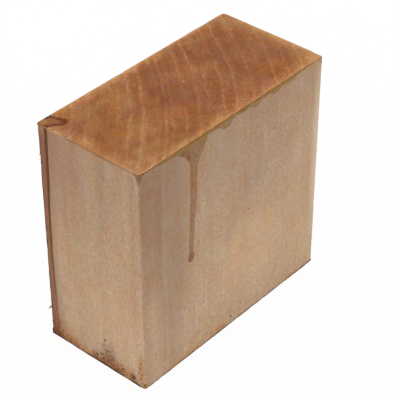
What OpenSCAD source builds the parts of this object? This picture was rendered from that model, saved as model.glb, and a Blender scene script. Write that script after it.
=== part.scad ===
// A square turning blank: a sawn block of hardwood, stood on end, with both ends sealed in wax.
// The origin is at the middle of the base, +Z runs along the grain, and the front face looks along -Y.

/* [Block] */
// Width of the block, across the grain
block_w = 155; // [110:1:240]
// Thickness of the block
block_t = 74.5; // [55:0.5:120]
// Height of the timber, along the grain
block_h = 151; // [115:1:240]
// Leg of the small flat that breaks every sawn arris
arris_break = 0.4; // [0.2:0.1:1]

/* [Worn arris] */
// Radius worn on the front left arris, where it meets the top
wear_r = 4; // [1:0.5:7]
// How far down that arris the wear runs before it dies out
wear_len = 60; // [30:1:100]
// How far the top of that arris is knocked back, along the corner's diagonal
corner_knock = 2.4; // [1:0.1:4]

/* [Bark pocket] */
// Width of the pocket along the back edge of the top
pocket_back = 8.5; // [7:0.5:12]
// Width of the pocket on the left face, at the top
pocket_side = 6.5; // [5:0.1:9]
// Width of the pocket on the left face, at its waist
pocket_waist = 4.1; // [3:0.1:5]
// Height of that waist above the foot of the block
pocket_waist_z = 70; // [40:1:90]
// Distance of the pocket's round inner end from the left face
pocket_in_x = 8.4; // [7:0.2:11]
// Distance of the pocket's round inner end from the back face
pocket_in_y = 9.4; // [8:0.2:12]
// Radius of the pocket's inner end
pocket_end_r = 2.8; // [2:0.1:3.5]
// Width of the open shake that follows the pocket's outline
shake_w = 0.7; // [0.4:0.1:1.2]
// Depth of that shake
shake_d = 0.8; // [0.4:0.1:1.5]

/* [Torn fibre] */
// Height of the torn fibre's root above the foot of the block
fibre_z = 20.5; // [10:0.5:60]
// Length of the fibre that stands off the back left arris
fibre_len = 2.6; // [1:0.1:4]
// Thickness of the fibre at its root
fibre_root = 0.9; // [0.4:0.1:1.2]
// How steeply the fibre points down, in degrees
fibre_droop = 45; // [20:5:70]

/* [End wax] */
// Thickness of the wax film
wax_t = 0.4; // [0.2:0.05:1]
// How far the top film laps onto every side face, between its runs
top_lap = 1; // [0.6:0.1:3]
// How far the bottom film laps onto every side face, between its runs
bottom_lap = 1.3; // [0.6:0.1:3]

/* [Drip] */
// Distance of the drip's neck from the front left arris
drip_x = 43; // [30:0.5:80]
// How far the funnel spreads to the left of the neck's middle, at the top edge
funnel_left = 18.5; // [12:0.5:20]
// How far the funnel spreads to the right of the neck's middle, at the top edge
funnel_right = 13; // [8:0.5:18]
// Height of the funnel, down to its neck
funnel_h = 17; // [12:0.5:24]
// Width of the drip under the funnel
neck_w = 5.2; // [4:0.1:8]
// How far the drip stands off the block under the funnel
neck_proud = 0.7; // [0.5:0.05:1.5]
// Width of the drip just above its drop
tail_w = 3.5; // [2:0.1:4]
// How far the drip stands off the block above its drop
tail_proud = 0.45; // [0.3:0.05:1]
// Width of the drop at the drip's end
drop_w = 5; // [4.5:0.1:8]
// How far the drop stands off the block
drop_proud = 1; // [0.7:0.1:2]
// Distance of the drop's middle from the top of the block
drip_len = 79; // [50:1:100]
// How far the drip leans towards the left on its way down
drip_lean = 2.6; // [0:0.2:6]

/* [Hidden] */

$fn = 64;

// Runs at the edge of each film: [distance from the face's left end, half width, depth past the lap].
// Left and right are as seen by someone who faces that side.
TOP_FRONT_RUNS = [
    [0, 4.5, 3.2], [26, 16, 1.8], [58, 15, 1.8], [70.3, 8.5, 5.3], [85, 13, 2.2], [95.5, 7, 2.9],
    [103, 12, 1.8], [113, 7, 3.2], [124, 12, 2.4], [127, 4, 1], [block_w, 8, 3.6]
];
TOP_LEFT_RUNS = [[13, 5, 0.6], [48, 14, 0.6], [block_t, 5.5, 3.2]];
TOP_BACK_RUNS = [[0, 9, 1.6], [46, 14, 2.4], [104, 18, 1.8]];
TOP_RIGHT_RUNS = [[0, 8, 3.6], [31, 10, 2.2], [block_t, 12, 1.6]];
BOTTOM_FRONT_RUNS = [[0, 6, 2], [39, 19, 2], [66.2, 7, 3.6], [137, 14, 1.2]];
BOTTOM_LEFT_RUNS = [[3, 9, 3], [21, 13, 4], [44, 12, 7.4], [60, 9, 5], [block_t, 6, 2]];
BOTTOM_BACK_RUNS = [[38, 15, 2.2], [97, 20, 3.4], [block_w - 3, 9, 3]];
BOTTOM_RIGHT_RUNS = [[20, 9, 1.8], [52, 14, 2.6]];

// Spacing of the points along a film's edge
EDGE_STEP = 1.5;
// Number of steps down each side of the funnel
FUNNEL_STEPS = 12;
// How strongly each side of the funnel sweeps out towards the top, where 1 is a straight side
FUNNEL_LEFT_SWEEP = 2.2;
FUNNEL_RIGHT_SWEEP = 1;
// Number of steps round the pocket's inner end
POCKET_STEPS = 10;
// Number of stations up the pocket's line on the left face
LINE_STEPS = 12;
// A cutter's overrun past the face that it cuts
OVER = 2;
// How far a film's side regions reach into the block, past the worn arris
GRIP = wear_r + OVER;
// Side of the cubes that stand in for everything beyond a plane
FAR = 4 * max(block_w, block_t, block_h);
// Directions, round the worn arris, of the flats that make up its rounding
WEAR_TURNS = [22.5, 45, 67.5];
// Rises of the flats that knock back the top of the worn arris
KNOCK_RISES = [12, 35, 58];

// ---------------------------------------------------------------- places and cutters

// Stands a shape on one side face: X runs left to right along the face, Y up it and Z out of it.
module on_front() {
    translate([-block_w / 2, -block_t / 2, 0]) rotate([90, 0, 0]) children();
}

module on_left() {
    translate([-block_w / 2, block_t / 2, 0]) rotate([90, 0, -90]) children();
}

module on_back() {
    translate([block_w / 2, block_t / 2, 0]) rotate([90, 0, 180]) children();
}

module on_right() {
    translate([block_w / 2, -block_t / 2, 0]) rotate([90, 0, 90]) children();
}

// Everything on the far side of a plane that passes through a point.
module beyond(point, normal) {
    translate(point)
        rotate([0, acos(normal[2] / norm(normal)), atan2(normal[1], normal[0])])
            translate([-FAR / 2, -FAR / 2, 0]) cube(FAR);
}

function unit(v) = v / norm(v);

// The eight corners' signs, and the twelve arrises as directions away from the block's middle.
ARRISES = [
    for (x = [-1, 0, 1], y = [-1, 0, 1], z = [-1, 0, 1])
        if (abs(x) + abs(y) + abs(z) == 2) [x, y, z]
];

// ---------------------------------------------------------------- the timber's form

// The worn block, with every face moved out by grow.
module block_form(grow = 0) {
    half = [block_w / 2, block_t / 2, block_h / 2];
    middle = [0, 0, half[2]];
    difference() {
        translate([-half[0] - grow, -half[1] - grow, -grow])
            cube([block_w + 2 * grow, block_t + 2 * grow, block_h + 2 * grow]);
        for (side = ARRISES)
            beyond(
                middle + [for (i = [0:2]) side[i] * half[i]]
                    - unit(side) * (arris_break / sqrt(2) - grow),
                side
            );
        for (turn = WEAR_TURNS) worn_flat(turn, grow);
        for (rise = KNOCK_RISES) knocked_flat(rise, grow);
    }
}

// One flat of the worn arris: it starts at the arris and falls back to the wear's radius at the top.
module worn_flat(turn, grow) {
    fall = wear_r * (cos(turn) + sin(turn) - 1);
    side = [-cos(turn), -sin(turn), fall / wear_len];
    foot = [-block_w / 2, -block_t / 2, block_h - wear_len];
    beyond(foot + unit(side) * grow, side);
}

// One flat of the knocked corner: all of them touch one ball that sits under the corner.
module knocked_flat(rise, grow) {
    side = [-cos(rise) / sqrt(2), -cos(rise) / sqrt(2), sin(rise)];
    diagonal = [-1, -1, 1] / sqrt(3);
    ball_r = corner_knock / (sqrt(3) - 1);
    ball = [-block_w / 2, -block_t / 2, block_h] - diagonal * sqrt(3) * ball_r;
    beyond(ball + side * (ball_r + grow), side);
}

// ---------------------------------------------------------------- the bark pocket

// The pocket's outline on the end of the block, from the left face round to the back face.
// X is measured in from the left face and Y in from the back face. out moves the line outwards.
function pocket_line(out) = concat(
    [[-OVER, pocket_side + out - OVER * 0.6], [0, pocket_side + out]],
    [
        for (i = [0:POCKET_STEPS])
            let (a = 125 - i * 135 / POCKET_STEPS)
                [pocket_in_x, pocket_in_y] + (pocket_end_r + out) * [cos(a), sin(a)]
    ],
    [[pocket_back + out, 0], [pocket_back + out, -OVER]]
);

// Distance of the pocket's line from the back arris, on the left face, at height z.
function pocket_side_at(z) =
    let (high = (z - pocket_waist_z) / (block_h - pocket_waist_z))
        pocket_waist + (pocket_side - pocket_waist) * pow(sin(90 * high), 2);

module reversed_band(near_edge, far_edge) {
    last = len(far_edge) - 1;
    polygon(concat(near_edge, [for (i = [0:last]) far_edge[last - i]]));
}

// The open shake round the pocket, on the top end.
module end_shake() {
    translate([-block_w / 2, block_t / 2, block_h - shake_d])
        mirror([0, 1, 0])
            linear_extrude(shake_d + OVER)
                reversed_band(pocket_line(-shake_w / 2), pocket_line(shake_w / 2));
}

// The same shake where it runs down the left face.
module side_shake() {
    heights = [for (i = [0:LINE_STEPS]) -OVER + i * (block_h + 2 * OVER) / LINE_STEPS];
    on_left() translate([0, 0, -shake_d])
        linear_extrude(shake_d + OVER)
            reversed_band(
                [for (z = heights) [pocket_side_at(z) - shake_w / 2, z]],
                [for (z = heights) [pocket_side_at(z) + shake_w / 2, z]]
            );
}

// And where it runs straight down the back face.
module back_shake() {
    on_back() translate([block_w - pocket_back - shake_w / 2, -OVER, -shake_d])
        cube([shake_w, block_h + 2 * OVER, shake_d + OVER]);
}

// A fibre torn off the back left arris by the saw, pointing down and away from the block.
module torn_fibre() {
    translate([-block_w / 2, block_t / 2, fibre_z])
        rotate([0, 0, 135])
            translate([-fibre_root, fibre_root / 4, 0])
                rotate([90, 0, 0])
                    linear_extrude(fibre_root / 2)
                        polygon([
                            [0, -fibre_root / 2],
                            [0, fibre_root / 2],
                            [fibre_root + fibre_len * cos(fibre_droop), -fibre_len * sin(fibre_droop)]
                        ]);
}

// ---------------------------------------------------------------- the end wax

function sum(list, i = 0) = i < len(list) ? list[i] + sum(list, i + 1) : 0;

// How far a film's edge lies from its end of the block, at distance s along a face.
function edge_depth(s, lap, runs) = lap + sum([
    for (run = runs)
        let (off = abs(s - run[0]) / run[1])
            off < 1 ? run[2] * pow(cos(90 * off), 2) : 0
]);

// The part of one face that a film covers, from past its end of the block to the film's edge.
// way is 1 for a film that laps up the face, and -1 for one that laps down it.
module lapped(face_w, lap, runs, way) {
    steps = ceil(face_w / EDGE_STEP);
    past = -way * OVER;
    intersection() {
        translate([0, 0, -GRIP])
            linear_extrude(GRIP + OVER)
                polygon(concat(
                    [[-OVER, past], [-OVER, way * edge_depth(0, lap, runs)]],
                    [
                        for (i = [0:steps])
                            let (s = i * face_w / steps) [s, way * edge_depth(s, lap, runs)]
                    ],
                    [[face_w + OVER, way * edge_depth(face_w, lap, runs)], [face_w + OVER, past]]
                ));
        mitred(face_w);
    }
}

// The room that one face's film has before it meets the next face's, on a mitre at each corner.
module mitred(face_w) {
    translate([0, FAR / 2, 0]) rotate([90, 0, 0])
        linear_extrude(FAR)
            polygon([[-OVER, OVER], [GRIP, -GRIP], [face_w - GRIP, -GRIP], [face_w + OVER, OVER]]);
}

// Everything that lies within one end's film and its runs, before the block is taken out of it.
module lapped_end(z, lap, way, front, left, back, right) {
    low = way > 0 ? -OVER : z - lap;
    translate([-block_w / 2 - OVER, -block_t / 2 - OVER, low])
        cube([block_w + 2 * OVER, block_t + 2 * OVER, lap + OVER]);
    translate([0, 0, z]) {
        on_front() lapped(block_w, lap, front, way);
        on_left() lapped(block_t, lap, left, way);
        on_back() lapped(block_w, lap, back, way);
        on_right() lapped(block_t, lap, right, way);
    }
}

// How far one side of the funnel lies from the neck's middle, at a depth below the top edge.
function funnel_side(reach, sweep, depth) =
    neck_w / 2 + (reach - neck_w / 2) * pow(1 - depth / funnel_h, sweep);

// The funnel of wax that feeds the drip: its sides fall in from the top edge to the neck.
module funnel() {
    depths = [for (i = [0:FUNNEL_STEPS]) i * funnel_h / FUNNEL_STEPS];
    linear_extrude(wax_t)
        reversed_band(
            [for (depth = depths) [-funnel_side(funnel_left, FUNNEL_LEFT_SWEEP, depth), -depth]],
            [for (depth = depths) [funnel_side(funnel_right, FUNNEL_RIGHT_SWEEP, depth), -depth]]
        );
}

// Radius of the ball or bar whose cap is width wide and stands proud of a flat face.
function cap_r(width, proud) = (width * width / 4 + proud * proud) / (2 * proud);

// The drip: a tapered bar that lies half sunk in the face, with a ball sunk at each end.
// Only what stands proud of the face is left once the block is taken out.
module drip() {
    neck_r = cap_r(neck_w, neck_proud);
    tail_r = cap_r(tail_w, tail_proud);
    drop_r = cap_r(drop_w, drop_proud);
    neck = [0, -funnel_h, neck_proud - neck_r];
    tail = [-drip_lean, -drip_len, tail_proud - tail_r];
    drop = [-drip_lean, -drip_len, drop_proud - drop_r];
    run = tail - neck;
    translate(neck) {
        sphere(neck_r);
        rotate([0, acos(run[2] / norm(run)), atan2(run[1], run[0])])
            cylinder(h = norm(run), r1 = neck_r, r2 = tail_r);
    }
    translate(drop) sphere(drop_r);
}

// ---------------------------------------------------------------- the pieces

module timber_block() {
    color("rosybrown") {
        difference() {
            block_form();
            end_shake();
            side_shake();
            back_shake();
        }
        torn_fibre();
    }
}

module top_end_wax() {
    color("peru") difference() {
        union() {
            intersection() {
                block_form(wax_t);
                lapped_end(
                    block_h, top_lap, -1,
                    TOP_FRONT_RUNS, TOP_LEFT_RUNS, TOP_BACK_RUNS, TOP_RIGHT_RUNS
                );
            }
            translate([0, 0, block_h]) on_front() translate([drip_x, 0, 0]) {
                funnel();
                drip();
            }
        }
        timber_block();
    }
}

module bottom_end_wax() {
    color("sandybrown") difference() {
        intersection() {
            block_form(wax_t);
            lapped_end(
                0, bottom_lap, 1,
                BOTTOM_FRONT_RUNS, BOTTOM_LEFT_RUNS, BOTTOM_BACK_RUNS, BOTTOM_RIGHT_RUNS
            );
        }
        timber_block();
    }
}

// The base film's underside is the floor.
module stood_up() {
    translate([0, 0, wax_t]) children();
}

stood_up() timber_block();
stood_up() top_end_wax();
stood_up() bottom_end_wax();
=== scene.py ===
import itertools
import math

import bpy
import numpy as np
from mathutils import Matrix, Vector


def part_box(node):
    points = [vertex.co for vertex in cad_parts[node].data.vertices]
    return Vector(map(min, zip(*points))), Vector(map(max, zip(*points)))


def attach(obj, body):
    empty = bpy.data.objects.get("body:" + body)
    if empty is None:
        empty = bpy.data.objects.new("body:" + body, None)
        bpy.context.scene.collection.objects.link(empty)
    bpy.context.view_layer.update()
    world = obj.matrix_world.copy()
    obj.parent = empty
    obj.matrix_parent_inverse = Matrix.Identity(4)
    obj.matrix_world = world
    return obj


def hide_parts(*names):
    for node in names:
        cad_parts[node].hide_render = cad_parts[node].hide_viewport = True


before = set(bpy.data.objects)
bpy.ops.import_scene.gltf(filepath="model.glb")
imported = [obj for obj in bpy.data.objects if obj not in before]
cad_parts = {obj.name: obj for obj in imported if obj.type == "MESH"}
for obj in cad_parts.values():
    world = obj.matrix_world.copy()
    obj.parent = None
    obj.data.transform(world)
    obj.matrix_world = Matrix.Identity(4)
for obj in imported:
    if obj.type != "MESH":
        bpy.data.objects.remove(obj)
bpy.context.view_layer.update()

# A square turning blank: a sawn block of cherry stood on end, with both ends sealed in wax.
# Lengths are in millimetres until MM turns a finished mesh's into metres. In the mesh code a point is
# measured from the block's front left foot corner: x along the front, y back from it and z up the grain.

MM = 0.001

# ---------------------------------------------------------------- sizes

timber_low, timber_high = (np.array(corner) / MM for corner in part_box("timber_block"))
# A torn fibre stands past the left and back faces, so the block is measured from the other two.
BLOCK_W = 2 * timber_high[0]
BLOCK_T = -2 * timber_low[1]
FOOT = timber_low[2]
BLOCK_H = timber_high[2] - FOOT
BLOCK = np.array([BLOCK_W, BLOCK_T, BLOCK_H])
WAX_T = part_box("top_end_wax")[1].x / MM - BLOCK_W / 2

# An uneven surface is a sum of layers of lumps. Each layer is (how much, how large its lumps are, seed).

# The arrises: the radius that sawing and handling left, and the chips knocked out of them.
ARRIS_R = 0.45
ARRIS_LUMPS = [(0.35, 5, 11), (0.25, 1.7, 12)]
# Each chip: (x, y, z) as shares of the block, then reach along the arris and radius.
CHIPS = [
    ((0, 1, 0.845), 3.0, 1.1),
    ((0, 1, 0.815), 1.8, 0.9),
    ((0, 1, 0.42), 2.2, 0.8),
    ((0, 0, 0.53), 3.5, 0.8),
    ((0, 0, 0), 4.0, 1.3),
    ((1, 0, 0.31), 4.0, 0.9),
    ((1, 1, 0.66), 6.0, 1.1),
    ((1, 1, 1), 4.0, 1.2),
    ((0.42, 1, 1), 5.0, 0.9),
    ((0, 0.81, 1), 11.0, 1.7),
    ((1, 0.55, 0), 5.0, 1.0),
]
CHIP_LUMPS = [(0.35, 1.1, 13)]
# The wear on the front left arris: its radius at the top, how far down it runs and how far round it reaches.
WEAR_R = 4.2
WEAR_LEN = 60
WEAR_REACH = 9
# How deep the saw's hollows lie below the faces.
SAW_DIP = 0.05
SAW_LUMPS = [(0.7, (9, 9, 45), 31), (0.3, (2, 2, 30), 32)]

# The bark pocket in the back left corner, and the shake that follows its outline.
POCKET_BACK = 8.5
POCKET_SIDE = 6.5
POCKET_WAIST = 4.1
POCKET_WAIST_Z = 70
POCKET_TIP = np.array([8.4, 9.4])
POCKET_TIP_R = 2.8
POCKET_TURNS = (np.radians(-16.6), np.radians(124.6))
POCKET_LUMPS = [(0.2, (4, 4, 22), 21), (0.08, (1.5, 1.5, 5), 22)]
SHAKE_W = 1.3
SHAKE_D = 0.45
# How far the shake gapes on the whole, and how unevenly.
SHAKE_GAPE = 0.75
SHAKE_LUMPS = [(0.25, (6, 6, 14), 23)]
# The height below which the shake has all but closed, the height that it takes to open from there, and how
# much of its depth is left at the foot.
SHAKE_CLOSED_Z = 12
SHAKE_CLOSING = 40
SHAKE_AT_FOOT = 0.3
# How much of the shake's depth the wax over it follows.
SHAKE_UNDER_WAX = 0.35

# The torn fibre on the back left arris.
FIBRE_Z = 20.5
FIBRE_LEN = 2.6
FIBRE_R = 0.6
FIBRE_DROOP = math.radians(45)
# Small whiskers lifted along the same arris: height, length, root radius and droop.
WHISKERS = [(130.6, 0.9, 0.22, 0.9), (127.2, 0.7, 0.2, 1.1), (83.5, 0.6, 0.16, 1.0), (9.5, 0.7, 0.2, 0.6)]
# How each of them lies: the share of its length that is rooted in the wood, how far inside the sharp arris
# it comes out, and how its droop grows along it.
FIBRE_ROOTED = 0.35
FIBRE_INSIDE = 0.15
FIBRE_BEND = 1.4
# How each of them thins: the share of its radius left before the tip, how it tapers, and how flat it is.
FIBRE_TIP = 0.08
FIBRE_TAPER = 0.6
FIBRE_FLAT = 0.8
FIBRE_STEPS = 9
FIBRE_SIDES = 7

# The wax: its laps, and the runs at the edge of each film, face by face.
# A run is (distance from the face's left end, half width, depth past the lap).
TOP_LAP = 1
BOTTOM_LAP = 1.3
TOP_RUNS = {
    "front": [
        (0, 4.5, 3.2), (26, 16, 1.8), (58, 15, 1.8), (70.3, 8.5, 5.3), (85, 13, 2.2), (95.5, 7, 2.9),
        (103, 12, 1.8), (113, 7, 3.2), (124, 12, 2.4), (127, 4, 1), (BLOCK_W, 8, 3.6),
    ],
    "left": [(13, 5, 0.6), (48, 14, 0.6), (BLOCK_T, 5.5, 3.2)],
    "back": [(0, 9, 1.6), (46, 14, 2.4), (104, 18, 1.8)],
    "right": [(0, 8, 3.6), (31, 10, 2.2), (BLOCK_T, 12, 1.6)],
}
BOTTOM_RUNS = {
    "front": [(0, 6, 2), (39, 19, 2), (66.2, 7, 3.6), (137, 14, 1.2)],
    "left": [(3, 9, 3), (21, 13, 4), (44, 12, 7.4), (60, 9, 5), (BLOCK_T, 6, 2)],
    "back": [(38, 15, 2.2), (97, 20, 3.4), (BLOCK_W - 3, 9, 3)],
    "right": [(20, 9, 1.8), (52, 14, 2.6)],
}
# How a film's edge wanders from its runs, in millimetres, and the least share of its lap that it keeps.
EDGE_LUMPS = [(0.27, 2.3, 41), (0.18, 0.9, 42)]
LEAST_LAP = 0.75
# How far in from its edge a film reaches its full thickness.
EDGE_ROUND = 0.7
# How far a film's hidden side is sunk below the wood, so that no gap shows under its edge.
SUNK = 0.03
# How much of the film's thickness its ripples take, and how long they are.
RIPPLE = 0.3
RIPPLE_SIZE = 4.5
# How much of the film's thickness soaked into the wood at the right end of the front, and over what reach.
SOAKED_IN = 0.75
SOAKED_REACH = 10
# How a film's depth counts where it covers the end itself.
COVERED = 9.0

# The drip: how far its funnel spreads to each side of the neck, and how strongly each side sweeps out.
DRIP_X = 43
FUNNEL_LEFT = 18.5
FUNNEL_RIGHT = 13
FUNNEL_LEFT_SWEEP = 2.2
FUNNEL_RIGHT_SWEEP = 1
FUNNEL_H = 17
NECK_W = 5.2
NECK_PROUD = 0.7
TAIL_W = 3.5
TAIL_PROUD = 0.45
DRIP_LEN = 79
DRIP_LEAN = 2.6
# How the drip's lean grows as it falls.
LEAN_BEND = 1.6
# How the drip wanders from side to side, and the share of its fall over which it starts to.
MEANDER_LUMPS = [(0.25, 14, 61)]
MEANDER_START = 1 / 6
# How much further the wax spread on each side, and how ragged it left the drip's edges.
DRIP_SPREAD = 0.2
DRIP_LUMPS = [(0.15, 3.5, 62)]
# The share of the funnel's height over which the run still lies flat, before it gathers into a bead.
FUNNEL_FLAT = 0.35
# The drop is an egg, blunt end up, that leans a little to the left as it hangs.
DROP_W = 5
DROP_PROUD = 1
DROP_LEAN = 0.1
# How much longer than wide the egg is above its widest part, and below it.
DROP_ABOVE = 1.1
DROP_BELOW = 1.4
# How far the drop's widest part lies above the drip's end, and to its right.
DROP_RISE = 1.1
DROP_ASIDE = 0.3
# How much of its width the drip loses above the drop, how far above its own end, and over what reach.
PINCH = 0.25
PINCH_ABOVE = 5
PINCH_REACH = 6

# The meshes are lattices with these steps, which are closer in bands. A band is (from, to, step).
TIMBER_STEP = 2.6
TIMBER_STEP_UP = 2.0
TIMBER_NEAR_ARRIS = [(0, 0.9, 0.18), (0.9, 2.1, 0.4), (2.1, 6, 1.0)]
# Beside the shake, by the distance from the back left arris.
SHAKE_ON_BACK = (POCKET_BACK - SHAKE_W, POCKET_BACK + SHAKE_W, 0.22)
SHAKE_ON_LEFT = (4.3, 7.9, 0.22)
TOP_WAX_STEP = 1.1
BOTTOM_WAX_STEP = 1.0
BOTTOM_WAX_STEP_UP = 0.45
WAX_NEAR_ARRIS = [(0, 0.9, 0.2), (0.9, 6, 0.6)]
# Closer to a film's edge than this no lattice point is left, so that no sliver is cut there.
LEAST_COVER = 0.04
# Two places closer than this are the same.
TOUCH = 1e-6
# What a place is multiplied by to keep only its level part, or only its height.
LEVEL = np.array([1, 1, 0])
UPRIGHT = np.array([0, 0, 1])

# ---------------------------------------------------------------- mesh helpers

# The lumps repeat after this many along each axis.
NOISE_SIDE = 32


def lumps(points, size, seed):
    """Smooth noise from -1 to 1 at each point, with lumps about size across; size may differ by axis."""
    table = np.random.default_rng(seed).uniform(-1, 1, (NOISE_SIDE,) * 3)
    cell = points / size
    low = np.floor(cell).astype(int)
    part = cell - low
    part = part * part * (3 - 2 * part)
    total = np.zeros(len(points))
    for step in itertools.product((0, 1), repeat=3):
        at = (low + step) % NOISE_SIDE
        share = np.prod(np.where(step, part, 1 - part), axis=1)
        total += share * table[at[:, 0], at[:, 1], at[:, 2]]
    return total


def uneven(points, layers):
    """The sum of layers of lumps at each point."""
    return sum(amount * lumps(points, size, seed) for amount, size, seed in layers)


def smooth(value):
    """0 below 0, 1 above 1, and a smooth rise between."""
    value = np.clip(value, 0, 1)
    return value * value * (3 - 2 * value)


def fading(distance, reach):
    """1 up to half the reach, and a smooth fall from there to 0 at the reach."""
    return smooth(2 * (1 - distance / reach))


def stations(length, step, bands):
    """Places from 0 to length, step apart, and closer within each band of (from, to, step)."""
    ends = {0.0, float(length)}
    ends.update(float(np.clip(end, 0, length)) for band in bands for end in band[:2])
    ends = sorted(ends)
    places = []
    for low, high in zip(ends, ends[1:]):
        middle = (low + high) / 2
        gap = min([step] + [band[2] for band in bands if band[0] <= middle <= band[1]])
        count = math.ceil((high - low) / gap - TOUCH)
        places.extend(np.linspace(low, high, count, endpoint=False))
    return np.array(places + [ends[-1]])


def both_ends(length, bands):
    """The same bands at both ends of a length."""
    return bands + [(length - high, length - low, step) for low, high, step in bands]


def skin(xs, ys, zs):
    """The six sides of a box lattice as one closed surface: its points and its quads."""
    shape = (len(xs), len(ys), len(zs))
    at = np.indices(shape)
    last = np.array(shape).reshape(3, 1, 1, 1) - 1
    outside = ((at == 0) | (at == last)).any(axis=0)
    number = np.full(shape, -1)
    number[outside] = np.arange(outside.sum())
    points = np.stack([xs[at[0][outside]], ys[at[1][outside]], zs[at[2][outside]]], axis=1)
    quads = []
    for axis, side in itertools.product(range(3), (0, -1)):
        sheet = number.take(side, axis=axis)
        corners = [sheet[:-1, :-1], sheet[1:, :-1], sheet[1:, 1:], sheet[:-1, 1:]]
        faces = np.stack([corner.ravel() for corner in corners], axis=1)
        turned = (side == 0) != (axis == 1)
        quads.append(faces[:, ::-1] if turned else faces)
    return points, np.concatenate(quads)


def make_piece(name, points, faces, values, finishes):
    """A mesh object from points in block coordinates, with a value at each point for every name in values."""
    mesh = bpy.data.meshes.new(name)
    placed = (points - [BLOCK_W / 2, BLOCK_T / 2, -FOOT]) * MM
    mesh.from_pydata(placed.tolist(), [], [list(face) for face in faces])
    for key, value in values.items():
        layer = mesh.attributes.new(key, "FLOAT", "POINT")
        layer.data.foreach_set("value", np.asarray(value, np.float32))
    for finish in finishes:
        mesh.materials.append(finish)
    mesh.shade_smooth()
    piece = bpy.data.objects.new(name, mesh)
    bpy.context.scene.collection.objects.link(piece)
    return piece


# ---------------------------------------------------------------- the worn block

def arris_radius(q):
    """Radius worn on the arrises, at points q of the sharp block."""
    radius = ARRIS_R * (1 + uneven(q, ARRIS_LUMPS))
    ragged = 1 + uneven(q, CHIP_LUMPS)
    for place, reach, chip_r in CHIPS:
        off = np.linalg.norm(q - np.array(place) * BLOCK, axis=1)
        radius += (chip_r - ARRIS_R) * ragged * smooth(1 - off / reach)
    down = np.clip(1 - (BLOCK_H - q[:, 2]) / WEAR_LEN, 0, 1)
    out = np.hypot(q[:, 0], q[:, 1])
    return radius + (WEAR_R - ARRIS_R) * down * fading(out, WEAR_REACH)


def pocket_side_at(z):
    """Distance of the pocket's outline from the back face, on the left face."""
    high = (z - POCKET_WAIST_Z) / (BLOCK_H - POCKET_WAIST_Z)
    return POCKET_WAIST + (POCKET_SIDE - POCKET_WAIST) * np.sin(high * math.pi / 2) ** 2


def pocket_distance(q):
    """How far points q lie outside the bark pocket's outline, negative inside it."""
    back = (BLOCK_T - q[:, 1]) * POCKET_SIDE / pocket_side_at(q[:, 2])
    place = np.stack([q[:, 0], back], axis=1)
    low, high = (np.array([math.cos(turn), math.sin(turn)]) for turn in POCKET_TURNS)
    past_back = (place - [POCKET_BACK, 0]) @ low
    past_side = (place - [0, POCKET_SIDE]) @ high
    reach = place - POCKET_TIP
    turn = np.arctan2(reach[:, 1], reach[:, 0])
    at_tip = (turn > POCKET_TURNS[0]) & (turn < POCKET_TURNS[1])
    straight = np.maximum(past_back, past_side)
    distance = np.where(at_tip, np.linalg.norm(reach, axis=1) - POCKET_TIP_R, straight)
    return distance + uneven(q, POCKET_LUMPS)


def shake_depth(q):
    """How deep the open shake is cut at points q of the left and back faces."""
    across = pocket_distance(q) / (SHAKE_W / 2)
    on_side = (q[:, 0] < ARRIS_R) | (q[:, 1] > BLOCK_T - ARRIS_R)
    near = (q[:, 0] < 2 * POCKET_BACK) & (q[:, 1] > BLOCK_T - 2 * POCKET_SIDE)
    gape = SHAKE_GAPE + uneven(q, SHAKE_LUMPS)
    closing = SHAKE_AT_FOOT + (1 - SHAKE_AT_FOOT) * smooth((q[:, 2] - SHAKE_CLOSED_Z) / SHAKE_CLOSING)
    depth = SHAKE_D * gape * closing * np.sqrt(np.clip(1 - across * across, 0, 1))
    return np.where(on_side & near, depth, 0)


def worn(q, shake=1.0):
    """Places on the worn block for points q of the sharp one, and the outward direction at each.

    The shake is cut to the share of its depth that shake gives.
    """
    radius = arris_radius(q)[:, None]
    core = np.clip(q, radius, BLOCK - radius)
    out = (q - core) / np.linalg.norm(q - core, axis=1, keepdims=True)
    place = core + radius * out
    level = 1 - np.abs(out[:, 2])
    dip = SAW_DIP * (1 + uneven(q, SAW_LUMPS))
    place -= (level * dip + shake * shake_depth(q))[:, None] * out
    return place, out


def arris_distance(q):
    """Distance of each point of the sharp block from the nearest arris of the side that it lies on."""
    from_faces = np.sort(np.minimum(q, BLOCK - q), axis=1)
    return from_faces[:, 1]


# ---------------------------------------------------------------- the timber

def strand(path, radii):
    """A closed, tapered strand along path: its points and its faces."""
    path = np.array(path)
    along = np.gradient(path, axis=0)
    along /= np.linalg.norm(along, axis=1, keepdims=True)
    # Any direction will do that no strand runs along.
    aslant = [0.31, 0.27, 0.91]
    side = np.cross(along, aslant)
    side /= np.linalg.norm(side, axis=1, keepdims=True)
    other = np.cross(along, side)
    turns = np.arange(FIBRE_SIDES) * 2 * math.pi / FIBRE_SIDES
    points = [
        centre + radius * (math.cos(turn) * a + FIBRE_FLAT * math.sin(turn) * b)
        for centre, radius, a, b in zip(path, radii, side, other)
        for turn in turns
    ]
    ring, i = np.indices((len(path) - 1, FIBRE_SIDES))
    here = ring * FIBRE_SIDES + i
    beside = ring * FIBRE_SIDES + (i + 1) % FIBRE_SIDES
    quads = np.stack([here, beside, beside + FIBRE_SIDES, here + FIBRE_SIDES], axis=-1)
    root = list(range(FIBRE_SIDES))
    tip = [len(points) - FIBRE_SIDES + i for i in root]
    return np.array(points), quads.reshape(-1, 4).tolist() + [root[::-1], tip]


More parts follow.
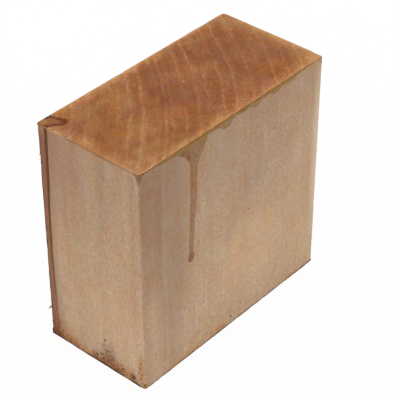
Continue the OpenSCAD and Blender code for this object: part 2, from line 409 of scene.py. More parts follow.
def torn_fibre(z, length, root_r, droop):
    """A fibre that the saw tore off the back left arris: it bends down and away from the block."""
    steps = np.linspace(-FIBRE_ROOTED, 1, FIBRE_STEPS)
    outward = np.array([-1, 1, 0]) / math.sqrt(2)
    path = [
        np.array([0, BLOCK_T, z - length * math.sin(droop) * math.copysign(abs(t) ** FIBRE_BEND, t)])
        + outward * (length * math.cos(droop) * t - FIBRE_INSIDE)
        for t in steps
    ]
    radii = [root_r * max(1 - max(t, 0), FIBRE_TIP) ** FIBRE_TAPER for t in steps]
    return strand(path, radii)


# What the points of a torn fibre carry instead of their distances from the pocket and from an arris. The
# arris distance is one that no point of the block has.
FIBRE_IN_POCKET = -0.5
TORN = -1.0


def build_timber(finish):
    """The worn block and its torn fibres as one mesh."""
    near, far, step = SHAKE_ON_LEFT
    shake_on_left = (BLOCK_T - far, BLOCK_T - near, step)
    xs = stations(BLOCK_W, TIMBER_STEP, both_ends(BLOCK_W, TIMBER_NEAR_ARRIS) + [SHAKE_ON_BACK])
    ys = stations(BLOCK_T, TIMBER_STEP, both_ends(BLOCK_T, TIMBER_NEAR_ARRIS) + [shake_on_left])
    zs = stations(BLOCK_H, TIMBER_STEP_UP, both_ends(BLOCK_H, TIMBER_NEAR_ARRIS))
    q, quads = skin(xs, ys, zs)
    points, _ = worn(q)
    pocket = pocket_distance(q)
    arris = arris_distance(q)
    faces = quads.tolist()
    for z, length, root_r, droop in [(FIBRE_Z, FIBRE_LEN, FIBRE_R, FIBRE_DROOP)] + WHISKERS:
        fibre_points, fibre_faces = torn_fibre(z, length, root_r, droop)
        faces += [[corner + len(points) for corner in face] for face in fibre_faces]
        points = np.concatenate([points, fibre_points])
        pocket = np.append(pocket, np.full(len(fibre_points), FIBRE_IN_POCKET))
        arris = np.append(arris, np.full(len(fibre_points), TORN))
    return make_piece("timber", points, faces, {"pocket": pocket, "arris": arris}, [finish])


# ---------------------------------------------------------------- the wax films

def along_faces(q):
    """For each side face: which points of q lie on it, and their distance from its left end, from outside."""
    x, y = q[:, 0], q[:, 1]
    return {
        "front": (y < TOUCH, x),
        "left": (x < TOUCH, BLOCK_T - y),
        "back": (y > BLOCK_T - TOUCH, BLOCK_W - x),
        "right": (x > BLOCK_W - TOUCH, y),
    }


def lap_depth(q, lap, runs):
    """How far from its end of the block a film reaches, at points q of the side faces."""
    depth = np.zeros(len(q))
    for face, (on_face, s) in along_faces(q).items():
        reach = np.full(len(q), float(lap))
        for centre, half, deeper in runs[face]:
            off = np.clip(np.abs(s - centre) / half, 0, 1)
            reach += deeper * np.cos(off * math.pi / 2) ** 2
        depth = np.maximum(depth, np.where(on_face, reach, 0))
    return np.maximum(depth + uneven(q * LEVEL, EDGE_LUMPS), LEAST_LAP * lap)


def film_thickness(q, cover):
    """The film rises from its edge in a round lip, and ripples where it is full, except under the foot."""
    lip = np.clip(cover / EDGE_ROUND, 0, 1)
    on_foot = q[:, 2] <= 0
    ripple = np.where(on_foot, 0, RIPPLE * (1 + lumps(q, RIPPLE_SIZE, seed=51)) / 2)
    return WAX_T * np.sqrt(1 - (1 - lip) ** 2) * (1 - ripple)


def bottom_cover(q):
    """How far in from the bottom film's edge each point lies, and the film's thickness there."""
    on_side = q[:, 2] > 0
    cover = np.where(on_side, lap_depth(q, BOTTOM_LAP, BOTTOM_RUNS) - q[:, 2], COVERED)
    return cover, film_thickness(q, cover)


def drip_cover(q):
    """How far in from the drip's edge each point of the front face lies, and how proud the drip is there."""
    below = BLOCK_H - q[:, 2]
    aside = q[:, 0] - DRIP_X
    high = np.clip(1 - below / FUNNEL_H, 0, 1)
    left_reach = (FUNNEL_LEFT - NECK_W / 2) * high ** FUNNEL_LEFT_SWEEP
    right_reach = (FUNNEL_RIGHT - NECK_W / 2) * high ** FUNNEL_RIGHT_SWEEP
    spread = np.where(aside < 0, left_reach, right_reach)
    fall = np.clip((below - FUNNEL_H) / (DRIP_LEN - FUNNEL_H), 0, 1)
    meander = uneven(q * UPRIGHT, MEANDER_LUMPS) * smooth(fall / MEANDER_START)
    aside = aside + DRIP_LEAN * fall ** LEAN_BEND + meander
    # It thins just above the drop, which pulled wax down out of it.
    pinch = PINCH * smooth(1 - np.abs(DRIP_LEN - PINCH_ABOVE - below) / PINCH_REACH)
    half = (NECK_W + (TAIL_W - NECK_W) * fall) / 2 * (1 - pinch) + spread
    half = half + DRIP_SPREAD + uneven(q * UPRIGHT, DRIP_LUMPS)
    drop_z = below - DRIP_LEN + DROP_RISE
    run = half - np.hypot(aside, np.maximum(drop_z, 0))
    proud = NECK_PROUD + (TAIL_PROUD - NECK_PROUD) * fall
    narrow = smooth((below / FUNNEL_H - FUNNEL_FLAT) / (1 - FUNNEL_FLAT))
    bead = proud * narrow * np.clip(1 - (aside / half) ** 2, 0, 1) * (run > 0)

    drop_x = aside - DROP_ASIDE + DROP_LEAN * drop_z
    egg = np.hypot(drop_x, drop_z / np.where(drop_z < 0, DROP_ABOVE, DROP_BELOW))
    drop_bead = DROP_PROUD * np.sqrt(np.clip(1 - (egg / (DROP_W / 2)) ** 2, 0, 1))
    return np.maximum(run, DROP_W / 2 - egg), np.maximum(bead, drop_bead)


def top_cover(q):
    """How far in from the top film's edge each point lies, and the film's thickness there."""
    below = BLOCK_H - q[:, 2]
    cover = np.where(below > 0, lap_depth(q, TOP_LAP, TOP_RUNS) - below, COVERED)
    on_front = (q[:, 1] < TOUCH) & (below > 0)
    run, bead = drip_cover(q)
    cover = np.where(on_front, np.maximum(cover, run), cover)
    # It soaked in at the right end of the front, and stands hardly proud there.
    off_end = np.linalg.norm(q - [BLOCK_W, 0, BLOCK_H], axis=1)
    thickness = film_thickness(q, cover) * (1 - SOAKED_IN * fading(off_end, SOAKED_REACH))
    # Below the funnel there is only the drip's own bead.
    above_neck = below <= FUNNEL_H
    return cover, np.where(on_front, np.maximum(thickness * above_neck, bead), thickness)


def cut_at_edge(points, quads, cover):
    """The quads' triangles where cover is above 0, cut along the line where it is 0.

    Gives the points, the triangles and which points lie on the cut.
    """
    triangles = np.concatenate([quads[:, [0, 1, 2]], quads[:, [0, 2, 3]]])
    above = cover > 0
    inside = above[triangles].sum(axis=1)
    mixed = triangles[(inside == 1) | (inside == 2)]
    lone_above = inside[(inside == 1) | (inside == 2)] == 1
    # Each cut triangle is turned so that the corner alone on its side of the line comes first.
    lone = (above[mixed] == lone_above[:, None]).argmax(axis=1)
    turned = np.take_along_axis(mixed, (lone[:, None] + np.arange(3)) % 3, axis=1)
    pairs = np.concatenate([turned[:, [0, 1]], turned[:, [0, 2]]])
    lines, place = np.unique(np.sort(pairs, axis=1), axis=0, return_inverse=True)
    place = place.ravel() + len(points)
    first, second = place[: len(turned)], place[len(turned):]
    low, high = lines.T
    share = (cover[low] / (cover[low] - cover[high]))[:, None]
    points = np.concatenate([points, points[low] + (points[high] - points[low]) * share])
    # What is kept of it is its tip, or the stub that is left when the tip is cut off.
    tips = np.stack([turned[:, 0], first, second], axis=1)[lone_above]
    stub = ~lone_above
    stubs = np.concatenate([
        np.stack([first, turned[:, 1], turned[:, 2]], axis=1)[stub],
        np.stack([first, turned[:, 2], second], axis=1)[stub],
    ])
    kept = np.concatenate([triangles[inside == 3], tips, stubs])
    used, renumbered = np.unique(kept, return_inverse=True)
    on_edge = used >= len(cover)
    return points[used], renumbered.reshape(-1, 3), on_edge


def build_film(name, lattice, cover_of, finishes):
    """A closed film of wax on the worn block. cover_of gives points their cover and its thickness."""
    q, quads = skin(*lattice)
    cover, _ = cover_of(q)
    near = np.abs(cover) < LEAST_COVER
    cover[near] = np.where(cover[near] < 0, -LEAST_COVER, LEAST_COVER)
    q, triangles, on_edge = cut_at_edge(q, quads, cover)
    cover, thickness = cover_of(q)
    cover[on_edge] = 0
    thickness[on_edge] = 0
    base, out = worn(q, SHAKE_UNDER_WAX)
    # The hidden side repeats every point but the edge's, which the two sides share.
    hidden = np.flatnonzero(~on_edge)
    inner = np.arange(len(q))
    inner[hidden] = len(q) + np.arange(len(hidden))
    points = np.concatenate([base + out * thickness[:, None], (base - out * SUNK)[hidden]])
    faces = np.concatenate([triangles, inner[triangles][:, ::-1]])
    values = {"pocket": pocket_distance(q), "arris": arris_distance(q), "film": cover}
    values = {key: np.concatenate([value, value[hidden]]) for key, value in values.items()}
    piece = make_piece(name, points, faces, values, finishes)
    # The end's finish goes halfway round the arrises.
    on_side = np.abs(out[triangles].mean(axis=1)[:, 2]) < math.sin(math.pi / 4)
    piece.data.polygons.foreach_set("material_index", np.tile(on_side, 2).astype(np.int32))
    # The edge itself is shaded sharp.
    rim = np.concatenate([on_edge, np.zeros(len(hidden), bool)])
    ends = np.zeros(2 * len(piece.data.edges), np.int32)
    piece.data.edges.foreach_get("vertices", ends)
    piece.data.edges.foreach_set("use_edge_sharp", rim[ends.reshape(-1, 2)].all(axis=1))
    return piece


def build_top_film(finishes):
    """The top's film, with closer lattice bands at the funnel, the drip, the drop and the bark pocket."""
    depth = DRIP_LEN + DROP_W
    funnel = (DRIP_X - FUNNEL_LEFT - 1, DRIP_X + FUNNEL_RIGHT + 1, 0.6)
    drip = (DRIP_X - DRIP_LEAN - 0.7 * NECK_W, DRIP_X + 0.7 * NECK_W, 0.35)
    pocket_on_back = (6, 12, 0.6)
    pocket_on_left = (BLOCK_T - 13, BLOCK_T, 0.6)
    lap = (depth - FUNNEL_H - 1, depth - 0.9, 0.45)
    arris = (depth - 0.9, depth, 0.2)
    xs = stations(BLOCK_W, TOP_WAX_STEP, both_ends(BLOCK_W, WAX_NEAR_ARRIS) + [drip, funnel, pocket_on_back])
    ys = stations(BLOCK_T, TOP_WAX_STEP, both_ends(BLOCK_T, WAX_NEAR_ARRIS) + [pocket_on_left])
    zs = BLOCK_H - depth + stations(depth, TOP_WAX_STEP, [(0, 2 * DROP_W, 0.4), lap, arris])
    return build_film("top_wax", (xs, ys, zs), top_cover, finishes)


def build_bottom_film(finishes):
    """The foot's film, with a lattice as high as its deepest run."""
    depth = 2 * BOTTOM_LAP + max(run[2] for runs in BOTTOM_RUNS.values() for run in runs)
    xs = stations(BLOCK_W, BOTTOM_WAX_STEP, both_ends(BLOCK_W, WAX_NEAR_ARRIS))
    ys = stations(BLOCK_T, BOTTOM_WAX_STEP, both_ends(BLOCK_T, WAX_NEAR_ARRIS))
    zs = stations(depth, BOTTOM_WAX_STEP_UP, WAX_NEAR_ARRIS[:1])
    return build_film("bottom_wax", (xs, ys, zs), bottom_cover, finishes)


# ---------------------------------------------------------------- material helpers

def linear(code):
    """An sRGB hex colour as linear red, green, blue and alpha."""
    parts = [int(code[i:i + 2], 16) / 255 for i in (1, 3, 5)]
    return [c / 12.92 if c <= 0.04045 else ((c + 0.055) / 1.055) ** 2.4 for c in parts] + [1]


def add(tree, kind, inputs=(), **settings):
    """Adds a node with its settings and links. An input is a value, a socket, or a node's first output."""
    node = tree.nodes.new("ShaderNode" + kind)
    for name, value in settings.items():
        setattr(node, name, value)
    sockets = [socket for socket in node.inputs if socket.enabled]
    named = inputs.items() if isinstance(inputs, dict) else enumerate(inputs)
    for key, value in named:
        socket = sockets[key] if isinstance(key, int) else next(s for s in sockets if s.name == key)
        if isinstance(value, bpy.types.Node):
            value = next(output for output in value.outputs if output.enabled)
        if isinstance(value, bpy.types.NodeSocket):
            tree.links.new(value, socket)
        else:
            socket.default_value = value
    return node


def emptied(owner):
    """The node tree of a new material or world, with no nodes in it."""
    owner.use_nodes = True
    owner.node_tree.nodes.clear()
    return owner.node_tree


def new_finish(name):
    """A material with an empty node tree, its tree, and a point's place in millimetres.

    The place is measured from the front left foot corner, as it is in the mesh code.
    """
    material = bpy.data.materials.new(name)
    tree = emptied(material)
    coordinates = add(tree, "TexCoord").outputs["Object"]
    corner = (BLOCK_W / 2, BLOCK_T / 2, -FOOT)
    place = add(tree, "VectorMath", [coordinates, (1 / MM,) * 3, corner], operation="MULTIPLY_ADD")
    return material, tree, place


def mottle(tree, place, size, seed, detail=2.0):
    """A cloudy pattern from 0 to 1, with lumps of a size in millimetres along each axis."""
    shift = (seed, 1.7 * seed, 0.6 * seed)
    cell = add(tree, "VectorMath", [place, [1 / part for part in size], shift], operation="MULTIPLY_ADD")
    return add(tree, "TexNoise", {"Vector": cell, "Scale": 1.0, "Detail": detail, "Roughness": 0.55})


def summed(tree, base, patterns):
    """base, plus each pattern's weight times how far the pattern lies above a half."""
    total = base - sum(weight for _, weight in patterns) / 2
    for pattern, weight in patterns:
        total = add(tree, "Math", [pattern, weight, total], operation="MULTIPLY_ADD")
    return total


def ragged(tree, distance, patterns):
    """A distance moved to and fro by patterns of (pattern, weight), so that what ends there ends unevenly."""
    return summed(tree, 0.5, [(distance, 1.0), *patterns])


def stained(tree, colour, code, strength, value, clear, full):
    """A colour stained by another: not at all where value is at clear, by strength where it is at full."""
    share = add(
        tree, "MapRange",
        {"Value": value, "From Min": clear, "From Max": full, "To Max": strength},
        interpolation_type="SMOOTHSTEP",
    )
    return add(tree, "Mix", {"Factor": share, "A": colour, "B": linear(code)}, data_type="RGBA")


# Further from a spot, in its radii, than any stain reaches.
NOWHERE_NEAR = 9.0


def nearest_spot(tree, place, spots):
    """How far a point lies from the nearest spot's middle, in spot radii. A spot is (middle, radii)."""
    nearest = NOWHERE_NEAR
    for middle, radii in spots:
        scale = [1 / radius for radius in radii]
        shift = [-part / radius for part, radius in zip(middle, radii)]
        off = add(tree, "VectorMath", [place, scale, shift], operation="MULTIPLY_ADD")
        distance = add(tree, "VectorMath", [off], operation="LENGTH").outputs["Value"]
        nearest = add(tree, "Math", [distance, nearest], operation="MINIMUM")
    return nearest


def spotted(tree, place, colour, code, strength, spots, clear, full, patterns=()):
    """A colour stained by another in spots, from clear to full spot radii off, and unevenly by patterns."""
    distance = nearest_spot(tree, place, spots)
    if patterns:
        distance = ragged(tree, distance, patterns)
    return stained(tree, colour, code, strength, distance, clear, full)


# How far a spot reaches into the block. Its place on a side face is measured from the face's left end and
# from the top, and on the top from the left face and from the back.
SPOT_DEPTH = 3


def on_front(along, below, width, height):
    return (along, 0, BLOCK_H - below), (width / 2, SPOT_DEPTH, height / 2)


def on_left(along, below, width, height):
    return (0, BLOCK_T - along, BLOCK_H - below), (SPOT_DEPTH, width / 2, height / 2)


def on_top(along, back, width, depth):
    return (along, BLOCK_T - back, BLOCK_H), (width / 2, depth / 2, SPOT_DEPTH)


def front_share(tree, place):
    """1 on the front face, 0 behind it, and a fade between over the rounding."""
    back = add(tree, "SeparateXYZ", [place]).outputs["Y"]
    return add(tree, "MapRange", {"Value": back, "From Min": 2.5, "From Max": 0.5})


def surface(tree, colour, roughness, relief, depth, ior, shine):
    """Joins a colour, a roughness and a relief, depth millimetres deep, into the material's output."""
    bump = add(tree, "Bump", {"Height": relief, "Strength": 1.0, "Distance": depth * MM})
    shader = add(tree, "BsdfPrincipled", {
        "Base Color": colour, "Roughness": roughness, "Normal": bump, "IOR": ior, "Specular IOR Level": shine,
    })
    add(tree, "OutputMaterial", {"Surface": shader})


# ---------------------------------------------------------------- the wood under every finish

# The blank was sawn from the outside of a trunk: its rings are arcs about a pith off its back left.
PITH = (-183, 271)
# The growth bands on the side faces. Each is a distance from the front left arris, along the front
# face or, below 0, back along the left face, and how pale the band is there, from -1 to 1.
GROWTH_BANDS = [
    (-74.5, -0.3), (-66, 0), (-62, 0.15), (-58, -0.2), (-56, 0.15), (-50, -0.4), (-46, 0), (-43, -0.2),
    (-39, 0.25), (-33, 0), (-28.5, -0.6), (-23.5, 0.25), (-16, 0), (-9.5, 0.35), (-6.5, -0.4), (-3, 0.3),
    (-1, 0.3), (0.6, -0.4), (2, -0.6), (5, -0.75), (9, -0.6), (13, -0.9), (16.9, -1), (18.4, 0.5), (20, -0.5),
    (23.4, -0.15), (27, -0.35), (34.7, -0.1), (40, -0.2), (46.5, 0.1), (50, 0.1), (52.5, -0.1), (55, 0.05),
    (58, -0.1), (62.5, 0.1), (67, 0), (74, -0.15), (77.5, -0.1), (81, 0.15), (87, -0.15), (92, -0.05),
    (99, 0.05), (105, 0.05), (110, 0.1), (118, 0), (125, 0), (132, 0.05), (137, 0.15), (144, 0),
    (150, 0.5), (155, 0.7),
]
# The pale early wood of single rings on the end grain: how much further from the pith than the front
# left arris each lies, and how plain it is.
PALE_RINGS = [
    (-56, 0.6), (-49, 0.5), (-41, 1.0), (-32, 0.5), (-24, 0.3), (-15, 0.4), (-9, 0.6), (-2, 1.0), (6.5, 0.5),
    (10.5, 0.5), (14, 0.4), (21.5, 0.6), (29, 0.8), (35, 0.5), (43.5, 0.9), (50.5, 0.9), (60.5, 0.5),
    (67, 0.4), (74.5, 0.5), (83, 0.5), (91.5, 0.8), (98, 0.4),
]
PALE_RING_HALF = 1.3


def ring_distance(x, y):
    return math.hypot(x - PITH[0], y - PITH[1])


# The rings in the block, with a margin for their wander.
RING_MARGIN = 8
RING_LOW = ring_distance(0, BLOCK_T) - RING_MARGIN
RING_HIGH = ring_distance(BLOCK_W, 0) + RING_MARGIN


def wood_place(tree, place):
    """A point's place in the trunk, in millimetres: out from the pith, round it, and up the grain."""
    # The rings wander by a few millimetres as they go round and up.
    wander = mottle(tree, place, (26, 26, 90), seed=3.1)
    from_pith = add(tree, "VectorMath", [place, (-PITH[0], -PITH[1], 0)])
    level = add(tree, "VectorMath", [from_pith, (1, 1, 0)], operation="MULTIPLY")
    distance = add(tree, "VectorMath", [level], operation="LENGTH").outputs["Value"]
    out = summed(tree, 0, [(wander, 5.0), (distance, 1.0)])
    parts = add(tree, "SeparateXYZ", [from_pith]).outputs
    turn = add(tree, "Math", [parts["Y"], parts["X"]], operation="ARCTAN2")
    round_pith = add(tree, "Math", [turn, ring_distance(0, 0)], operation="MULTIPLY")
    return add(tree, "CombineXYZ", [out, round_pith, parts["Z"]])


def ring_curve(tree, in_trunk, stops):
    """A curve over the distance from the pith, through stops of (distance, value)."""
    out = add(tree, "SeparateXYZ", [in_trunk]).outputs["X"]
    share = add(tree, "MapRange", {"Value": out, "From Min": RING_LOW, "From Max": RING_HIGH})
    curve = add(tree, "FloatCurve", {"Value": share})
    points = curve.mapping.curves[0].points
    for distance, value in stops:
        points.new((distance - RING_LOW) / (RING_HIGH - RING_LOW), value)
    points[0].location = (0, stops[0][1])
    points[-1].location = (1, stops[-1][1])
    curve.mapping.update()
    return curve


def growth_bands(tree, in_trunk):
    """How pale the side faces' growth band is, from 0 to 1."""
    return ring_curve(tree, in_trunk, [
        (ring_distance(along, 0) if along > 0 else ring_distance(0, -along), 0.5 + pale / 2)
        for along, pale in GROWTH_BANDS
    ])


def pale_rings(tree, in_trunk):
    """1 at the middle of a pale ring on the end grain, 0 between two."""
    return ring_curve(tree, in_trunk, [
        (ring_distance(0, 0) + ring + side * PALE_RING_HALF, plain * (side == 0))
        for ring, plain in PALE_RINGS
        for side in (-1, 0, 1)
    ])


def wood_colour(tree, value, colours):
    """The colour at a value from 0, deep, to 1, pale, along evenly spaced colours."""
    ramp = add(tree, "ValToRGB", [value])
    stops = ramp.color_ramp.elements
    while len(stops) < len(colours):
        stops.new(0.5)
    for i, code in enumerate(colours):
        stops[i].position = i / (len(colours) - 1)
        stops[i].color = linear(code)
    return ramp


def tinged(tree, place, colour, hue_pull, strength_pull):
    """A colour with the pinkish and olive clouds of cherry, in patches of some three and ten millimetres."""
    hue = summed(tree, 0.5, [
        (mottle(tree, place, (2.6, 2.6, 4), seed=4.4), hue_pull),
        (mottle(tree, place, (9, 9, 16), seed=5.8), 1.2 * hue_pull),
    ])
    strength = summed(tree, 1.0, [
        (mottle(tree, place, (2.4, 2.4, 4), seed=9.7), strength_pull),
        (mottle(tree, place, (11, 11, 20), seed=6.2), strength_pull),
    ])
    return add(tree, "HueSaturation", {"Hue": hue, "Saturation": strength, "Color": colour})


# Pin knots and grit on the side faces.
DARK_SPECKS = [
    on_front(76.3, 146, 1.6, 1.8), on_front(90.6, 73, 1.2, 1.5), on_front(112, 28, 1.0, 1.6),
    on_left(43.5, 131.5, 2.0, 2.2), on_left(46.8, 138.5, 1.9, 2.0), on_left(50.2, 142.6, 1.2, 2.6),
    on_left(37.5, 145.8, 2.6, 1.2), on_left(57.5, 145.5, 1.5, 2.2), on_left(66, 147, 2.4, 3.4),
    on_left(70.4, 119.5, 0.8, 1.3), on_left(71.9, 133, 1.1, 1.4), on_left(70.9, 137.2, 1.0, 2.4),
    on_left(72.6, 141, 1.2, 1.4), on_left(71.6, 144.4, 1.4, 1.4), on_left(69.6, 141, 0.8, 1.6),
    on_left(72.4, 147.5, 1.4, 1.4), on_left(13, 124, 0.8, 1.3), on_left(21, 134, 0.8, 1.4),
    on_left(42, 146, 1.0, 1.3), on_left(45.5, 148.5, 1.3, 1.1), on_left(49, 147, 1.1, 1.5),
    on_left(53, 148.5, 1.1, 1.1), on_left(40, 143.5, 1.0, 1.2), on_left(60.5, 147.8, 1.0, 1.4),
]
# Where wax soaked up from the foot: deep brown, and ochre round about.
BROWN_STAINS = [
    on_left(12, 150.5, 30, 9), on_left(36, 148, 7, 8), on_left(43, 147.5, 14, 11), on_left(47, 144.5, 12, 18),
    on_left(53, 148, 15, 9), on_left(65, 147.5, 6, 8),
]
OCHRE_STAINS = [
    on_left(10, 148, 32, 20), on_left(32, 150.5, 28, 8), on_left(58, 147.5, 26, 13), on_left(72, 140, 6, 24),
    on_front(66.2, 150.5, 15, 8.5), on_front(37, 151, 34, 6), on_front(133, 151, 22, 5),
]
# Softer changes of tone and a few single streaks, each with its colour and strength.
SOFT_PATCHES = [
    # The first two darken the front face's left part: painted shade.
    (on_front(8, 20, 36, 170), "#7E5A42", 0.38),
    (on_front(25, 50, 38, 260), "#886850", 0.5),
    (on_front(14.5, 35, 7.5, 150), "#7A5844", 0.14),
    (on_front(18.8, 62, 2.4, 110), "#AE9278", 0.16),
    (on_front(30, 0, 90, 100), "#8A6A50", 0.2),
    (on_front(70, 18, 40, 70), "#98806C", 0.25),
    (on_front(142, 90, 44, 190), "#C4A384", 0.25),
    (on_front(157, 60, 22, 200), "#DCC9AE", 0.5),
    (on_front(94, 105, 90, 90), "#D2AE88", 0.3),
    (on_left(14, 10, 60, 150), "#906850", 0.4),
    (on_left(40, 0, 110, 12), "#A4784C", 0.35),
    (on_left(56, 115, 50, 70), "#C6A482", 0.25),
    (on_left(12, 110, 8, 9), "#8F7A66", 0.4),
    (on_left(72, 136, 5, 34), "#8F6A4C", 0.45),
    (on_left(38, 95, 95, 130), "#AE8658", 0.15),
    (on_front(152, 4, 14, 8), "#B0884C", 0.4),
    (on_front(94, 4.5, 14, 6), "#8E6A38", 0.35),
]


def pocket_strip(tree, place, colour):
    """Side grain with the bark pocket's strip: deep and streaky, inside a soft dark line."""
    pocket = add(tree, "Attribute", attribute_name="pocket").outputs["Fac"]
    arris = add(tree, "Attribute", attribute_name="arris").outputs["Fac"]
    height = add(tree, "SeparateXYZ", [place]).outputs["Z"]
    # Beside it the wood is painted a little darker: painted shade along the shake's line.
    colour = stained(tree, colour, "#8A6850", 0.48, pocket, 9.5, 0.5)
    # A little more of the pale grain shows through the strip at the foot.
    cover = add(tree, "MapRange", {
        "Value": height, "From Min": 4, "From Max": 34, "To Min": 0.8, "To Max": 0.92,
    })
    colour = stained(tree, colour, "#805438", cover, pocket, 0.7, -0.4)
    # Long pinkish streaks run down it, and short dark ones.
    inside = add(tree, "Math", [pocket, -0.6], operation="LESS_THAN")
    for code, size, seed, clear, full in [
        ("#9A664C", (1.6, 1.6, 17), 6.6, 0.48, 0.66), ("#583420", (1.1, 1.1, 3.5), 7.9, 0.5, 0.68),
    ]:
        streaks = mottle(tree, place, size, seed, detail=3)
        streaks = add(tree, "Math", [inside, streaks], operation="MULTIPLY")
        colour = stained(tree, colour, code, 0.5, streaks, clear, full)
    # It is darkest along the arris, where it tore.
    torn = mottle(tree, place, (1.4, 1.4, 5), seed=3.9, detail=3)
    edge_strength = add(tree, "Math", [inside, 0.75], operation="MULTIPLY")
    colour = stained(tree, colour, "#482818", edge_strength, ragged(tree, arris, [(torn, 4.5)]), 1.6, 0.2)
    # Its top end is golden, like the corner of the end above it.
    colour = spotted(tree, place, colour, "#9C7850", 0.65, [on_left(2.5, 0, 8, 14)], 1.1, 0.2, [(torn, 1.0)])
    # The line lies just inside the outline at the top and just outside it lower down, and fades to the foot.
    shift = add(tree, "MapRange", {
        "Value": height, "From Min": 72, "From Max": 102, "To Min": -0.25, "To Max": 0.3,
    })
    off_line = add(tree, "Math", [add(tree, "Math", [pocket, shift])], operation="ABSOLUTE")
    off_line = ragged(tree, off_line, [(mottle(tree, place, (2, 2, 7), seed=5.9), 0.9)])
    strength = add(tree, "MapRange", {"Value": height, "From Min": 14, "From Max": 75, "To Max": 0.95})
    return stained(tree, colour, "#5E3414", strength, off_line, 1.5, 0.5)


def side_grain(tree, place):
    """The colour of sawn cherry's side grain with its stains, and its fibres as a relief."""
    in_trunk = wood_place(tree, place)
    x, y, height = add(tree, "SeparateXYZ", [place]).outputs
    # The bands are plainest in patches, and die out towards the foot.
    plain = summed(tree, 0.95, [(mottle(tree, place, (30, 30, 60), seed=5.2), 1.2)])
    fade = add(tree, "MapRange", {"Value": height, "From Max": BLOCK_H, "To Min": 0.35, "To Max": 1.2})
    plain = add(tree, "Math", [plain, fade], operation="MULTIPLY")
    bands = add(tree, "Math", [growth_bands(tree, in_trunk), 0.5], operation="SUBTRACT")
    bands = add(tree, "Math", [bands, plain, 0.5], operation="MULTIPLY_ADD")
    # The side faces are painted paler towards the foot and darker towards the top: a painted light falloff.
    painted_falloff = add(tree, "MapRange", {"Value": height, "From Min": BLOCK_H - 5, "From Max": 30})
    # Fibres of 1.2 mm stand for cherry's of a fifth of that, which would be too fine to show.
    fibres = mottle(tree, in_trunk, (1.2, 1.6, 24), seed=1.9, detail=3)
    flecks = mottle(tree, in_trunk, (0.6, 0.6, 1.7), seed=8.4)
    value = summed(tree, 0.5, [
        (bands, 0.2),
        (painted_falloff, 0.2),
        (mottle(tree, place, (22, 22, 50), seed=7.3, detail=1), 0.12),
        (mottle(tree, in_trunk, (1.6, 3, 60), seed=2.3, detail=3), 0.14),
        (fibres, 0.08),
        (flecks, 0.8),
    ])
    colour = wood_colour(tree, value, ["#765640", "#A88A6E", "#D6BA9A"])
    for spot, code, strength in SOFT_PATCHES:
        colour = spotted(tree, place, colour, code, strength, [spot], 1.0, 0.2)
    # The front face is painted darker than the left one right up to the arris between them: painted shade.
    across = add(tree, "Math", [x, y], operation="SUBTRACT")
    round_arris = add(tree, "MapRange", {"Value": across, "From Min": -0.3, "From Max": 0.5})
    near_arris = add(tree, "MapRange", {"Value": x, "From Min": 12, "From Max": 1})
    deeper = add(tree, "Math", [round_arris, near_arris], operation="MULTIPLY")
    colour = stained(tree, colour, "#7E5A42", 0.2, deeper, 0.0, 1.0)
    colour = tinged(tree, place, colour, 0.035, 0.42)

    # Cherry's fine pores show as short dark dashes along the grain. They are drawn at 0.5 mm, several times
    # their width, so that they show.
    dashes = mottle(tree, in_trunk, (0.5, 0.5, 3.2), seed=6.3, detail=1)
    colour = stained(tree, colour, "#6E503A", 0.32, dashes, 0.62, 0.78)
    colour = pocket_strip(tree, place, colour)

    # Wax crept up from the foot, and most of all up the foot of the strip.
    cloudy = mottle(tree, place, (1.5, 1.5, 2.6), seed=9.1, detail=3)
    colour = spotted(tree, place, colour, "#AA7440", 0.58, OCHRE_STAINS, 1.3, 0.3, [(cloudy, 2.4)])
    strip_foot = on_left(3, 150, 16, 32)
    colour = spotted(tree, place, colour, "#6A3C22", 0.82, [strip_foot], 1.2, 0.3, [(cloudy, 2.4)])
    # Wax ran a little way down the worn arris.
    down_arris = ((0, 0, BLOCK_H - 1), (3.4, 3.0, 7))
    colour = spotted(tree, place, colour, "#6A4030", 0.62, [down_arris], 1.15, 0.7, [(cloudy, 0.8)])
    grains = mottle(tree, place, (0.8, 0.8, 1.2), seed=2.6)
    grainy = [(cloudy, 2.4), (grains, 3.0)]
    colour = spotted(tree, place, colour, "#703E26", 0.82, BROWN_STAINS, 1.6, -0.1, grainy)
    colour = spotted(tree, place, colour, "#44240E", 0.85, DARK_SPECKS, 1.1, 0.5, [(grains, 1.6)])
    relief = summed(tree, 0.5, [(fibres, 0.5), (flecks, 0.5)])
    return colour, relief


# ---------------------------------------------------------------- finishes

def sawn_cherry():
    """Cherry, sawn along the grain and left dry: matt and pinkish tan, with faint straight growth bands."""
    material, tree, place = new_finish("sawn_cherry")
    colour, relief = side_grain(tree, place)
    # Handling left the worn arris a little deeper than the faces beside it.
    worn_arris = ((0, 0, BLOCK_H - 12), (3.6, 2.2, 34))
    colour = spotted(tree, place, colour, "#7C5E46", 0.4, [worn_arris], 1.0, 0.4)
    # The torn fibres are dark.
    arris = add(tree, "Attribute", attribute_name="arris").outputs["Fac"]
    colour = stained(tree, colour, "#4A2C1A", 0.9, arris, 0.3 * TORN, 0.8 * TORN)
    # The band saw's marks lie across the grain, 1.6 mm apart.
    saw = mottle(tree, place, (40, 40, 1.6), seed=2.2, detail=1)
    relief = summed(tree, 0.5, [(relief, 1.0), (saw, 0.35)])
    rough = summed(tree, 0.72, [(relief, 0.2)])
    surface(tree, colour, rough, relief, 0.12, ior=1.5, shine=0.25)
    return material


# Pin knots and other small soft marks on the end grain.
PIN_KNOTS = [
    on_top(101, 11, 2.0, 1.8), on_top(33, 57.5, 1.3, 1.5), on_top(43.5, 59, 1.8, 1.4),
    on_top(67, 59, 1.8, 1.4), on_top(36.6, 28.7, 1.2, 1.2), on_top(68.5, 4.5, 1.8, 2.4),
    on_top(73, 71.6, 2.4, 1.4), on_top(151, 61, 2.0, 1.6), on_top(121, 6.5, 2.4, 2.0),
    on_top(142, 53, 3.0, 1.4), on_top(19, 36, 1.4, 1.4),
]
